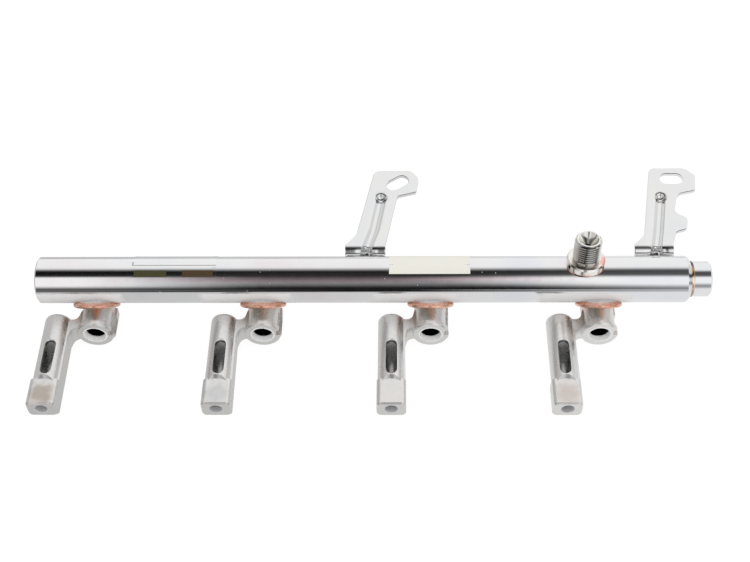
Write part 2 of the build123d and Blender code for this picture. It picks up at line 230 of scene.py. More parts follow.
def makeDustSpecks():  # round specks in some cells of a loose pattern
    group, gin, gout = newGroup(
        "dustSpecks",
        [("Vector", "NodeSocketVector", None), ("Scale", "NodeSocketFloat", 500.0),
         ("Size", "NodeSocketFloat", 0.12), ("Share", "NodeSocketFloat", 0.2)],
        [("Mask", "NodeSocketFloat")],
    )
    cells = group.nodes.new("ShaderNodeTexVoronoi")
    group.links.new(gin.outputs["Vector"], cells.inputs["Vector"])
    group.links.new(gin.outputs["Scale"], cells.inputs["Scale"])
    dot = mathNode(group, "LESS_THAN", cells.outputs["Distance"], gin.outputs["Size"])
    split = group.nodes.new("ShaderNodeSeparateColor")
    group.links.new(cells.outputs["Color"], split.inputs[0])
    some = mathNode(group, "LESS_THAN", split.outputs[0], gin.outputs["Share"])
    group.links.new(mathNode(group, "MULTIPLY", dot, some), gout.inputs["Mask"])
    return group


def makeSoftPatch():  # a ragged cloud round a centre, for tarnish and stains, and for painted copper reflections, painted highlights and painted shade
    group, gin, gout = newGroup(
        "softPatch",
        [("Vector", "NodeSocketVector", None), ("Centre", "NodeSocketVector", (0, 0, 0)),
         ("Size", "NodeSocketVector", (0.01, 0.01, 0.01)), ("Amount", "NodeSocketFloat", 0.5),
         ("Ragged", "NodeSocketFloat", 0.8), ("Scale", "NodeSocketFloat", 220.0)],
        [("Mask", "NodeSocketFloat")],
    )
    away = vectorNode(group, "SUBTRACT", gin.outputs["Vector"], gin.outputs["Centre"])
    reach = vectorNode(group, "LENGTH", vectorNode(group, "DIVIDE", away, gin.outputs["Size"]))
    cloud = raggedNode(group, gin.outputs["Vector"], gin.outputs["Scale"], cloudDetail)
    reach = mathNode(group, "ADD", reach, mathNode(group, "MULTIPLY", cloud, gin.outputs["Ragged"]))
    outer, inner = 1.1, 0.45  # where the stain ends and where it is full, as shares of its size
    mask = mathNode(group, "MULTIPLY", fadeNode(group, reach, outer, inner), gin.outputs["Amount"])
    group.links.new(mask, gout.inputs["Mask"])
    return group


def makeBoreLightAndShade():  # the inside of a bore that runs along Y, where painted shade and painted light go
    group, gin, gout = newGroup(
        "boreLightAndShade",
        [("Vector", "NodeSocketVector", None), ("Across", "NodeSocketFloat", 0.0),
         ("Radius", "NodeSocketFloat", 0.005), ("From", "NodeSocketFloat", 0.0),
         ("Full", "NodeSocketFloat", 0.005), ("Top", "NodeSocketFloat", 0.01)],
        [("Mask", "NodeSocketFloat")],
    )
    split = splitNode(group, gin.outputs["Vector"])
    across = mathNode(group, "SUBTRACT", split["X"], gin.outputs["Across"])
    flat = group.nodes.new("ShaderNodeCombineXYZ")
    group.links.new(across, flat.inputs[0])
    group.links.new(split["Z"], flat.inputs[1])
    away = vectorNode(group, "LENGTH", flat.outputs[0])
    inside = mathNode(group, "LESS_THAN", away, gin.outputs["Radius"])
    deep = fadeNode(group, split["Y"], gin.outputs["From"], gin.outputs["Full"])
    below = mathNode(group, "LESS_THAN", split["Z"], gin.outputs["Top"])
    deep = mathNode(group, "MULTIPLY", deep, below)
    group.links.new(mathNode(group, "MULTIPLY", inside, deep), gout.inputs["Mask"])
    return group


def makeSaddleRim():  # 1 at a saddle flange's rim, 0 where the braze thins out over the tube
    group, gin, gout = newGroup(
        "saddleRim",
        [("Vector", "NodeSocketVector", None), ("Centre", "NodeSocketVector", (0, 0, 0)),
         ("Thin", "NodeSocketFloat", 0.009), ("Full", "NodeSocketFloat", 0.010),
         ("Half", "NodeSocketFloat", 0.01), ("Ragged", "NodeSocketFloat", 0.001),
         ("Scale", "NodeSocketFloat", 300.0)],
        [("Mask", "NodeSocketFloat")],
    )
    away = vectorNode(group, "SUBTRACT", gin.outputs["Vector"], gin.outputs["Centre"])
    split = splitNode(group, turnNode(group, away, saddleAngle))
    cloud = raggedNode(group, gin.outputs["Vector"], gin.outputs["Scale"])
    ragged = mathNode(group, "MULTIPLY", cloud, gin.outputs["Ragged"])
    depth = mathNode(group, "SUBTRACT", ragged, split["Z"])
    side = mathNode(group, "ADD", mathNode(group, "ABSOLUTE", split["X"]), ragged)
    innerShare = 0.85
    inner = mathNode(group, "MULTIPLY", gin.outputs["Half"], innerShare)
    rim = fadeNode(group, depth, gin.outputs["Thin"], gin.outputs["Full"])
    ends = fadeNode(group, side, inner, gin.outputs["Half"])
    group.links.new(mathNode(group, "MAXIMUM", rim, ends), gout.inputs["Mask"])
    return group


heatTint = makeHeatTint()
fineGrain = makeFineGrain()
dustSpecks = makeDustSpecks()
softPatch = makeSoftPatch()
boreLightAndShade = makeBoreLightAndShade()
saddleRim = makeSaddleRim()


def addBump(tree, shader, height, strength, distance):
    bump = tree.nodes.new("ShaderNodeBump")
    bump.inputs["Strength"].default_value = strength
    bump.inputs["Distance"].default_value = distance
    tree.links.new(height, bump.inputs["Height"])
    tree.links.new(bump.outputs["Normal"], shader.inputs["Normal"])


grainSpan = (0.3, 0.75)


def addGrain(tree, shader, place, s):  # roughness and relief that every finish has
    grain = placeGroup(tree, fineGrain, {"Coarse": s["grainCoarse"], "Fine": s["grainFine"]}, place)
    levels = (s["roughLow"], s["roughHigh"])
    rough = rampNode(tree, grain["Mask"], [(spot, grey(level)) for spot, level in zip(grainSpan, levels)])
    tree.links.new(rough, shader.inputs["Roughness"])
    addBump(tree, shader, grain["Height"], s["bump"], s["bumpDepth"])
    return rough


def addTint(tree, place, s):
    values = {"Base": s["base"], "Cool": s["cool"], "Warm": s["warm"], "Scale": s["tintScale"],
              "Amount": s["tintAmount"]}
    return placeGroup(tree, heatTint, values, place)["Colour"]


# lays stains and tarnish, and painted reflections, highlights and shade, over a colour
def addStainsAndPaintedLight(tree, colour, place, stainsAndLight):
    for centre, size, tone, amount in stainsAndLight:
        values = {"Centre": centre, "Size": size, "Amount": amount}
        mask = placeGroup(tree, softPatch, values, place)["Mask"]
        colour = mixColour(tree, mask, colour, tone)
    return colour


tubeFinish = {
    "base": (0.87, 0.87, 0.875, 1), "cool": (0.70, 0.75, 0.84, 1), "warm": (0.84, 0.72, 0.76, 1),
    "tintScale": 26.0, "tintAmount": 0.35, "roughLow": 0.05, "roughHigh": 0.10,
    "grainCoarse": 260.0, "grainFine": 2400.0, "bump": 0.03, "bumpDepth": 0.00003,
    "speckScale": 420.0, "speckSize": 0.11, "speckShare": 0.14, "speckColour": grey(0.95), "speckRough": 0.5,
    # a painted reflection: a mauve tint where the tube mirrors its white band along the upper front
    "stainsAndLight": [((20 * mm, 63 * mm, 25.4 * mm), (130 * mm, 2.4 * mm, 2.4 * mm), (0.80, 0.60, 0.66, 1), 0.7)],
    "dullLeft": 8 * mm, "dullAcross": (26 * mm, 21 * mm), "dullRound": (63.0, 57.0),
    "dullRagged": (4 * mm, 4.0), "dullGrain": 260.0, "paintedReflectionColour": (0.83, 0.815, 0.81, 1), "dullRough": 0.5,
}


def saddleReflectionPatch(tree, place, s):  # pale matt patches painted on the tube where it would mirror the holders, a painted pale reflection in their place
    split = splitNode(tree, vectorNode(tree, "SUBTRACT", place, tubeAxis))
    ragged = raggedNode(tree, place, s["dullGrain"])
    slip, swing = (mathNode(tree, "MULTIPLY", ragged, amount) for amount in s["dullRagged"])
    nearest = None
    for cup in cupX:
        away = mathNode(tree, "ABSOLUTE", mathNode(tree, "SUBTRACT", split["X"], cup - s["dullLeft"]))
        nearest = away if nearest is None else mathNode(tree, "MINIMUM", nearest, away)
    turn = mathNode(tree, "ABSOLUTE", mathNode(tree, "ADD", frontAngle(tree, split), saddleAngle))
    across = fadeNode(tree, mathNode(tree, "ADD", nearest, slip), *s["dullAcross"])
    around = fadeNode(tree, mathNode(tree, "ADD", turn, swing), *s["dullRound"])
    return mathNode(tree, "MULTIPLY", across, around)


def brightPlate():
    mat, tree, shader, place = newMaterial("brightPlate")
    s = tubeFinish
    colour = addStainsAndPaintedLight(tree, addTint(tree, place, s), place, s["stainsAndLight"])
    values = {"Scale": s["speckScale"], "Size": s["speckSize"], "Share": s["speckShare"]}
    specks = placeGroup(tree, dustSpecks, values, place)["Mask"]
    colour = mixColour(tree, specks, colour, s["speckColour"])
    dull = saddleReflectionPatch(tree, place, s)
    # painted reflection: the tube turns pale and matt at each saddle
    tree.links.new(mixColour(tree, dull, colour, s["paintedReflectionColour"]), shader.inputs["Base Color"])
    tree.links.new(mathNode(tree, "SUBTRACT", 1.0, dull), shader.inputs["Metallic"])
    rough = addGrain(tree, shader, place, s)
    rough = mathNode(tree, "ADD", rough, mathNode(tree, "MULTIPLY", specks, s["speckRough"]))
    tree.links.new(mixColour(tree, dull, rough, grey(s["dullRough"])), shader.inputs["Roughness"])
    return mat


holderFinish = {
    "base": (0.81, 0.80, 0.785, 1), "cool": (0.78, 0.785, 0.79, 1), "warm": (0.82, 0.79, 0.76, 1),
    "tintScale": 55.0, "tintAmount": 0.6, "roughLow": 0.26, "roughHigh": 0.33,
    "grainCoarse": 420.0, "grainFine": 1500.0, "bump": 0.05, "bumpDepth": 0.00004,
    # painted shade: near black deep in the cups and grey inside the posts' bores; painted light: pale matt
    # grey in the bolt holes and near white at the cups' lead-ins and the posts' tops
    "cupPaintedShade": (0.012, 0.012, 0.013, 1), "borePaintedShade": (0.42, 0.43, 0.42, 1), "boltHolePaintedLight": (0.60, 0.60, 0.61, 1),
    "borePaintedLight": grey(0.97), "paintedLightRough": 0.5,
}
# painted reflections of the copper braze on the cups: copper and pink tones
copperReflectionTone = (0.87, 0.54, 0.41, 1)
pinkReflectionTone = (0.82, 0.66, 0.60, 1)
warmTone = (0.58, 0.52, 0.46, 1)
footTones = [((0.53, 0.475, 0.425, 1), 1.0), ((0.66, 0.665, 0.665, 1), 1.0), ((0.80, 0.77, 0.74, 1), 0.6),
             ((0.66, 0.58, 0.54, 1), 0.8)]
copperReflectionAmount = [0.8, 0.35, 0.5, 0.45]


def holderStainsAndReflections(i):
    tone, amount = footTones[i]
    cup = cupX[i]
    return [
        ((postX[i], 6 * mm, 6.5 * mm), (9 * mm, 9 * mm, 3.5 * mm), tone, amount),
        # the foot patch is a stain; the warm patch darkens the cup's top left of its middle; the copper and
        # pink patches are painted reflections of the copper braze
        ((cup - 5 * mm, 55 * mm, 6 * mm), (6 * mm, 12 * mm, 8 * mm), warmTone, 0.5),
        ((cup + 1 * mm, 56 * mm, 7 * mm), (2.6 * mm, 10 * mm, 6 * mm), copperReflectionTone, copperReflectionAmount[i]),
        ((cup, 61 * mm, 3 * mm), (14 * mm, 4.5 * mm, 9 * mm), pinkReflectionTone, 0.8),
        ((cup - 12 * mm, 56 * mm, 3 * mm), (5 * mm, 5 * mm, 5 * mm), copperReflectionTone, 0.5 * copperReflectionAmount[i]),
    ]


def holderHoles(i):  # tone, X of the bore, and radius, start, full depth and top of each painted shade and painted light in mm
    post, cup, s = postX[i], cupX[i], holderFinish
    return {
        # painted light in the bolt hole, the post's top and the cup's lead-in; painted shade in the post's
        # bore and deep in the cup
        "holeLight": (s["boltHolePaintedLight"], post, 3.6, 13.5, 12.5, 20),
        "bore": (s["borePaintedShade"], post, 5.7, 13.0, 14.0, 2),
        "crown": (s["borePaintedLight"], post, 5.7, 41, 46, 20),
        "lead": (s["borePaintedLight"], cup, 6.3, 49.1, 48.5, 20),
        "cup": (s["cupPaintedShade"], cup, 5.3, 48.5, 49.1, 20),
    }


def castPlate(i):
    mat, tree, shader, place = newMaterial("castPlate%d" % (i + 1))
    s = holderFinish
    colour = addStainsAndPaintedLight(tree, addTint(tree, place, s), place, holderStainsAndReflections(i))
    hole = {}
    for name, (tone, across, *sizes) in holderHoles(i).items():
        values = {label: size * mm for label, size in zip(("Radius", "From", "Full", "Top"), sizes)}
        hole[name] = placeGroup(tree, boreLightAndShade, dict(values, Across=across), place)["Mask"]
        colour = mixColour(tree, hole[name], colour, tone)
    tree.links.new(colour, shader.inputs["Base Color"])
    # the painted light in the holes is matt, not metal
    holeLight = mathNode(tree, "MAXIMUM", mathNode(tree, "MAXIMUM", hole["holeLight"], hole["lead"]), hole["crown"])
    tree.links.new(mathNode(tree, "SUBTRACT", 1.0, holeLight), shader.inputs["Metallic"])
    rough = addGrain(tree, shader, place, s)
    holeLight = mathNode(tree, "MULTIPLY", holeLight, s["paintedLightRough"])
    tree.links.new(mathNode(tree, "MAXIMUM", rough, holeLight), shader.inputs["Roughness"])
    return mat


turnedFinish = dict(
    holderFinish, base=(0.84, 0.835, 0.82, 1), metallic=1, roughLow=0.08, roughHigh=0.13, bump=0.05,
)
sheetFinish = {
    "base": grey(0.84), "cool": (0.80, 0.82, 0.84, 1), "warm": (0.86, 0.85, 0.83, 1), "metallic": 1,
    "tintScale": 60.0, "tintAmount": 0.5, "roughLow": 0.13, "roughHigh": 0.20,
    "grainCoarse": 300.0, "grainFine": 2200.0, "bump": 0.08, "bumpDepth": 0.00004,
}
paperFinish = {
    "base": (0.84, 0.825, 0.75, 1), "cool": (0.83, 0.83, 0.77, 1), "warm": (0.86, 0.835, 0.75, 1),
    "metallic": 0, "tintScale": 120.0, "tintAmount": 0.6, "roughLow": 0.38, "roughHigh": 0.55,
    "grainCoarse": 900.0, "grainFine": 4000.0, "bump": 0.12, "bumpDepth": 0.00003,
}


def plainFinish(name, s):
    mat, tree, shader, place = newMaterial(name)
    tree.links.new(addTint(tree, place, s), shader.inputs["Base Color"])
    shader.inputs["Metallic"].default_value = s["metallic"]
    addGrain(tree, shader, place, s)
    return mat


copperFinish = {
    "base": (0.92, 0.53, 0.40, 1), "cool": (0.78, 0.38, 0.28, 1), "warm": (0.98, 0.72, 0.60, 1),
    "tintScale": 240.0, "tintAmount": 0.8, "roughLow": 0.20, "roughHigh": 0.32,
    "grainCoarse": 500.0, "grainFine": 2000.0, "bump": 0.04, "bumpDepth": 0.00006,
    "thin": (0.90, 0.89, 0.885, 1), "thinRough": 0.5, "stainsAndLight": [],
    "rim": {"Thin": 10.7 * mm, "Full": 11.5 * mm, "Half": 11.4 * mm, "Ragged": 1.2 * mm},
}
endBrazeFinish = dict(copperFinish, roughLow=0.12, roughHigh=0.2, stainsAndLight=[
    # painted shade and a painted highlight on the end braze's fillet: dark brown on top, near black behind,
    # cream in front, greyish brown lower down
    ((199.5 * mm, 67 * mm, 25 * mm), (6 * mm, 4 * mm, 4 * mm), (0.62, 0.34, 0.13, 1), 1.0),
    ((199.5 * mm, 63 * mm, 22.5 * mm), (6 * mm, 3.4 * mm, 3.4 * mm), (0.98, 0.80, 0.58, 1), 1.0),
    ((199.5 * mm, 75 * mm, 25.5 * mm), (6 * mm, 6 * mm, 5 * mm), (0.10, 0.065, 0.045, 1), 1.0),
    ((199.5 * mm, 60.5 * mm, 14.5 * mm), (6 * mm, 4 * mm, 5.5 * mm), (0.42, 0.33, 0.28, 1), 0.9),
])


def copperBraze(name, s, saddleX=None):  # a saddle's braze is copper at the rim alone
    mat, tree, shader, place = newMaterial(name)
    colour = addStainsAndPaintedLight(tree, addTint(tree, place, s), place, s["stainsAndLight"])
    rough = addGrain(tree, shader, place, s)
    if saddleX is not None:
        values = dict(s["rim"], Centre=onAxis(saddleX))
        rim = placeGroup(tree, saddleRim, values, place)["Mask"]
        colour = mixColour(tree, rim, s["thin"], colour)
        tree.links.new(mixColour(tree, rim, grey(s["thinRough"]), rough), shader.inputs["Roughness"])
    tree.links.new(colour, shader.inputs["Base Color"])
    shader.inputs["Metallic"].default_value = 1
    return mat


filmFinish = dict(
    tubeFinish, tintAmount=0.25,
    olive=(0.068, 0.062, 0.030, 1), brown=(0.080, 0.054, 0.032, 1), edgeShadow=(0.30, 0.30, 0.27, 1),
    fields=[("olive", -89.3 * mm, -72.4 * mm, 58.5, 75.0), ("brown", -64.2 * mm, -48.3 * mm, 58.5, 75.0),
            # the last two fields paint a shadow line along the film's lower and left edges
            ("edgeShadow", -90.6 * mm, -46.9 * mm, 88.0, 90.2), ("edgeShadow", -90.6 * mm, -90.0 * mm, 88.0, 101.0)],
)


def clearFilm():  # the film is printed with two plain fields, and a painted shadow line runs along two of its edges
    mat, tree, shader, place = newMaterial("clearFilm")
    s = filmFinish
    split = splitNode(tree, vectorNode(tree, "SUBTRACT", place, tubeAxis))
    turn = frontAngle(tree, split)
    colour = addTint(tree, place, s)
    inked = None
    for tone, left, right, low, high in s["fields"]:
        mask = mathNode(tree, "GREATER_THAN", split["X"], left)
        for operation, value, edge in (("LESS_THAN", split["X"], right), ("GREATER_THAN", turn, low),
                                       ("LESS_THAN", turn, high)):
            mask = mathNode(tree, "MULTIPLY", mask, mathNode(tree, operation, value, edge))
        colour = mixColour(tree, mask, colour, s[tone])
        inked = mask if inked is None else mathNode(tree, "MAXIMUM", inked, mask)
    tree.links.new(colour, shader.inputs["Base Color"])
    tree.links.new(mathNode(tree, "SUBTRACT", 1.0, inked), shader.inputs["Metallic"])
    addGrain(tree, shader, place, s)
    return mat


def dress(names, mat):
    for name in names:
        mesh = nodes[name].data
        mesh.materials.clear()
        mesh.materials.append(mat)


brightMat = brightPlate()
sheetMat = plainFinish("sheetPlate", sheetFinish)
dress(["rail_tube"], brightMat)
dress(["left_end_plug", "sensor_port", "inlet_fitting"], plainFinish("turnedPlate", turnedFinish))
for i, cup in enumerate(cupX):
    dress(["injector_holder_%d" % (i + 1)], castPlate(i))
    dress(["holder_braze_%d" % (i + 1)], copperBraze("saddleCopper%d" % (i + 1), copperFinish, cup))
dress(["left_end_braze", "inlet_braze"], copperBraze("copperBraze", copperFinish))
dress(["right_end_braze"], copperBraze("endBraze", endBrazeFinish))
dress(["center_bracket", "end_bracket", "center_bracket_braze", "end_bracket_braze"], sheetMat)
dress(["cream_label"], plainFinish("creamPaper", paperFinish))
dress(["clear_label"], clearFilm())
print("finishes placed")


def drawProfile(points):  # a chain of edges in the XZ plane, drawn point by point
    bpy.ops.object.select_all(action="DESELECT")
    bpy.ops.mesh.primitive_plane_add(size=mm)
    piece = bpy.context.active_object
    bpy.ops.object.mode_set(mode="EDIT")
    bpy.ops.mesh.select_mode(type="VERT")
    bpy.ops.mesh.select_all(action="SELECT")
    bpy.ops.mesh.merge(type="CENTER")
    last = (0.0, 0.0)
    for i, (radius, height) in enumerate(points):
        step = {"value": (radius - last[0], 0, height - last[1])}
        if i == 0:
            bpy.ops.transform.translate(**step)
        else:
            bpy.ops.mesh.extrude_region_move(TRANSFORM_OT_translate=step)
        last = (radius, height)
    return piece


def turnPiece(points):  # closed solid of revolution about Z
    piece = drawProfile(points + points[:1])
    bpy.ops.mesh.select_all(action="SELECT")
    bpy.ops.mesh.spin(steps=latheSides, angle=math.tau, center=(0, 0, 0), axis=(0, 0, 1))
    bpy.ops.mesh.select_all(action="SELECT")
    bpy.ops.mesh.remove_doubles(threshold=mergeGap)
    bpy.ops.mesh.normals_make_consistent(inside=False)
    bpy.ops.object.mode_set(mode="OBJECT")
    return piece


threadForm = {"bite": 0.12 * mm, "flank": 0.46, "flat": 0.07}  # depth into the body, half widths in pitches


def threadRidge(s):  # one helical ridge that runs out at both ends
    root, crest = s["root"], s["crest"]
    grow = math.copysign(1, crest - root)
    foot = root - threadForm["bite"] * grow
    half, top = threadForm["flank"] * s["pitch"], threadForm["flat"] * s["pitch"]
    section = [(foot, -half), (crest, -top), (crest, top), (foot, half)]
    piece = drawProfile(section + section[:1])
    bpy.ops.mesh.select_all(action="SELECT")
    bpy.ops.mesh.remove_doubles(threshold=mergeGap)
    bpy.ops.object.mode_set(mode="OBJECT")
    turns = (s["end"] - s["start"]) / s["pitch"]
    screw = piece.modifiers.new("helix", "SCREW")
    screw.axis = "Z"
    screw.angle = math.tau * turns
    screw.screw_offset = s["end"] - s["start"]
    screw.iterations = 1
    screw.steps = screw.render_steps = round(turns * s["steps"])
    screw.use_smooth_shade = False
    bpy.ops.object.modifier_apply(modifier="helix")
    for vert in piece.data.vertices:
        vert.co.z += s["start"]
    bpy.ops.object.mode_set(mode="EDIT")
    bpy.ops.mesh.select_all(action="DESELECT")
    bpy.ops.mesh.select_mode(type="EDGE")
    bpy.ops.mesh.select_non_manifold(extend=False)
    bpy.ops.mesh.fill()
    bpy.ops.mesh.select_all(action="SELECT")
    bpy.ops.mesh.normals_make_consistent(inside=False)
    bpy.ops.object.mode_set(mode="OBJECT")
    trimCrest(piece, s, foot, grow)
    return piece


def trimCrest(piece, s, foot, grow):  # lets the ridge sink where it starts and ends
    for vert in piece.data.vertices:
        radius = math.hypot(vert.co.x, vert.co.y)
        room = min(vert.co.z - s["low"], s["high"] - vert.co.z)
        limit = foot + grow * max(0.0, room)
        if grow * (radius - limit) > 0:
            vert.co.x *= limit / radius
            vert.co.y *= limit / radius


def finishPiece(parts, name, turn, place, mat, node):  # joins, places and names a piece's parts
    bpy.ops.object.select_all(action="DESELECT")
    for part in parts:
        part.select_set(True)
    piece = parts[0]
    bpy.context.view_layer.objects.active = piece
    bpy.ops.object.join()
    piece.name = name
    piece.data.materials.clear()
    piece.data.materials.append(mat)
    bpy.ops.object.shade_smooth_by_angle(angle=math.radians(smoothAngle))
    piece.matrix_world = Matrix.Translation(place) @ turn
    bpy.ops.object.transform_apply(location=True, rotation=True, scale=True)
    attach(piece, "root")
    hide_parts(node)


inlet = {
    "x": 144.1 * mm, "lean": 5.0,
    "profile": [(1.75, 9.2), (5.0, 9.2), (5.0, 12.35), (9.85, 12.35), (9.85, 15.25), (9.15, 15.95),
                (6.3, 15.95), (6.12, 16.25), (6.12, 29.3), (5.85, 29.8), (5.15, 29.8), (1.75, 24.4)],
    "thread": {"root": 6.12 * mm, "crest": 7.0 * mm, "pitch": 1.5 * mm, "start": 17.0 * mm,
               "end": 29.1 * mm, "low": 16.2 * mm, "high": 29.75 * mm, "steps": 64},
}
inletFinish = dict(
    turnedFinish, base=(0.92, 0.905, 0.87, 1), cool=(0.87, 0.86, 0.83, 1), warm=(0.91, 0.87, 0.80, 1),
    tintScale=160.0, roughLow=0.12, roughHigh=0.19,
    stainsAndLight=[((153.5 * mm, 68 * mm, 29.0 * mm), (4.5 * mm, 8 * mm, 5 * mm), (0.86, 0.42, 0.34, 1), 1.0),
            ((143 * mm, 60.5 * mm, 28.0 * mm), (5.5 * mm, 4 * mm, 2.5 * mm), (0.86, 0.50, 0.46, 1), 0.9),
            # the third patch makes the inlet's upper left darker and browner
            ((137.5 * mm, 66 * mm, 38 * mm), (6.5 * mm, 9 * mm, 9 * mm), (0.60, 0.54, 0.48, 1), 0.5)],
    # painted shade: a dark brown tone in the thread's roots
    grooveShade=(0.24, 0.22, 0.19, 1), grooveAmount=0.35, grooveRadii=(6.95 * mm, 6.3 * mm), seatRadius=5.95 * mm,
    grooveLow=16.1 * mm, grooveHigh=29.2 * mm,
)


def inletPlate():  # painted shade, darker in the thread's grooves
    mat, tree, shader, place = newMaterial("inletPlate")
    s = inletFinish
    colour = addStainsAndPaintedLight(tree, addTint(tree, place, s), place, s["stainsAndLight"])
    upright = turnNode(tree, vectorNode(tree, "SUBTRACT", place, onAxis(inlet["x"])), inlet["lean"])
    height = splitNode(tree, upright)["Z"]
    radius = vectorNode(tree, "LENGTH", vectorNode(tree, "MULTIPLY", upright, (1.0, 1.0, 0.0)))
    grooveShade = mathNode(tree, "MULTIPLY", fadeNode(tree, radius, *s["grooveRadii"]), s["grooveAmount"])
    for mask in (mathNode(tree, "GREATER_THAN", radius, s["seatRadius"]),
                 mathNode(tree, "GREATER_THAN", height, s["grooveLow"]),
                 mathNode(tree, "LESS_THAN", height, s["grooveHigh"])):
        grooveShade = mathNode(tree, "MULTIPLY", grooveShade, mask)
    tree.links.new(mixColour(tree, grooveShade, colour, s["grooveShade"]), shader.inputs["Base Color"])
    shader.inputs["Metallic"].default_value = s["metallic"]
    addGrain(tree, shader, place, s)
    return mat


port = {
    "profile": [(1.6, 186.0), (8.3, 186.0), (9.2, 186.9), (9.2, 208.7), (8.3, 209.6), (6.9, 209.6),
                (6.0, 208.7), (6.0, 198.6), (1.6, 195.0)],
    "thread": {"root": 6.0 * mm, "crest": 5.25 * mm, "pitch": 1.5 * mm, "start": 199.4 * mm,
               "end": 208.6 * mm, "low": 198.8 * mm, "high": 209.3 * mm, "steps": 48},
}


def makeFitting(s, name, turn, place, mat, node):  # a turned body and its thread
    body = turnPiece([(radius * mm, height * mm) for radius, height in s["profile"]])
    ridge = threadRidge(s["thread"])
    finishPiece([body, ridge], name, turn, place, mat, node)


leanTurn = Matrix.Rotation(math.radians(-inlet["lean"]), 4, "X")
portTurn = Matrix.Rotation(math.radians(90), 4, "Y")
makeFitting(inlet, "threadedInlet", leanTurn, onAxis(inlet["x"]), inletPlate(), "inlet_fitting")
makeFitting(port, "threadedPort", portTurn, tubeAxis, brightMat, "sensor_port")
print("threads made")

bracketShape = {
    "voxel": 0.32 * mm, "bendY": 87.6 * mm, "bendZ": 17.5 * mm, "dishDepth": 1.05 * mm, "toeDepth": 1.5 * mm,
    "toeRun": 3 * mm, "dishWidth": 3.3 * mm, "softWidth": 5.5 * mm, "softRounds": 14,
    "paths": {"center_bracket": [(38.1 * mm, 121.2 * mm), (34.4 * mm, 99.0 * mm), (30.9 * mm, 87.2 * mm)],
              "end_bracket": [(190.2 * mm, 121.2 * mm), (186.1 * mm, 98.0 * mm), (183.8 * mm, 87.2 * mm)]},
}


def besideBead(point, path):  # distance to the bead's line, which runs straight down over the bend
    place = Vector((point[0], max(point[1], path[-1][1])))
    best = math.inf
    for (ax, ay), (bx, by) in zip(path, path[1:]):
        start, along = Vector((ax, ay)), Vector((bx - ax, by - ay))
        share = max(0.0, min(1.0, (place - start).dot(along) / along.length_squared))
        best = min(best, (place - start - along * share).length)
    return best


def makeBracket(node, name, mat):  # the pressed sheet, drawn in softly beside its bead
    s = bracketShape
    path = s["paths"][node]
    source = nodes[node]
    piece = bpy.data.objects.new(name, source.data.copy())
    bpy.context.scene.collection.objects.link(piece)
    piece.matrix_world = source.matrix_world
    bpy.ops.object.select_all(action="DESELECT")
    piece.select_set(True)
    bpy.context.view_layer.objects.active = piece
    bpy.ops.object.transform_apply(location=True, rotation=True, scale=True)
    bpy.ops.object.mode_set(mode="EDIT")
    bpy.ops.mesh.select_all(action="SELECT")
    bpy.ops.mesh.remove_doubles(threshold=mergeGap)
    bpy.ops.object.mode_set(mode="OBJECT")
    low, high = ([pick(v.co[k] for v in piece.data.vertices) for k in range(3)] for pick in (min, max))
    voxels = piece.modifiers.new("voxels", "REMESH")
    voxels.mode = "VOXEL"
    voxels.voxel_size = s["voxel"]
    bpy.ops.object.modifier_apply(modifier="voxels")
    soft = piece.vertex_groups.new(name="soft")
    for vert in piece.data.vertices:
        reach = besideBead(vert.co, path)
        soft.add([vert.index], math.exp(-(reach / s["softWidth"]) ** 4), "REPLACE")
        up, out = vert.co.z - s["bendZ"], vert.co.y - s["bendY"]
        toe = 0.0 if out > 0 else min(1.0, -out / s["toeRun"])
        normal = Vector((0, 0, 1)) if out > 0 else Vector((0, out, up)) if up > 0 else Vector((0, -1, 0))
        depth = s["dishDepth"] + (s["toeDepth"] - s["dishDepth"]) * toe
        vert.co -= normal.normalized() * depth * math.exp(-(reach / s["dishWidth"]) ** 2)
    smooth = piece.modifiers.new("smooth", "SMOOTH")
    smooth.vertex_group = "soft"
    smooth.iterations = s["softRounds"]
    bpy.ops.object.modifier_apply(modifier="smooth")
    for vert in piece.data.vertices:
        vert.co = [max(a, min(b, c)) for a, b, c in zip(low, high, vert.co)]
    finishPiece([piece], name, Matrix.Identity(4), (0, 0, 0), mat, node)


makeBracket("center_bracket", "centerSheet", sheetMat)
makeBracket("end_bracket", "endSheet", sheetMat)
print("brackets made")

studio = {
    "floorSize": 12.0, "floorColour": grey(0.86), "floorShare": 0.80, "floorGlow": 1.12, "roomLight": 1.0,
    # painted reflections: what glossy rays see of the floor is painted by place, pale near the object and
    # near black far in front
    "reflectedFloorAcross": 0.4,
    "reflectedFloorNear": [(-0.15, 0.58), (0.0, 0.66), (0.17, 0.86)],
    "reflectedFloorFar": [(-0.20, 0.13), (-0.08, 0.015), (0.06, 0.008), (0.18, 0.28), (0.24, 0.50)],
    "reflectedFloorFade": (-0.03, -0.12),
}


def spanRamp(tree, value, stops, low, high):  # greys along a span of places or angles
    share = mathNode(tree, "DIVIDE", mathNode(tree, "SUBTRACT", value, low), high - low)
    return rampNode(tree, share, [((place - low) / (high - low), grey(level)) for place, level in stops])


def lightPath(tree):  # the paths, and 1 for what is seen straight or through glass
    path = tree.nodes.new("ShaderNodeLightPath")
    return path, mathNode(tree, "MAXIMUM", path.outputs["Is Camera Ray"], path.outputs["Is Transmission Ray"])


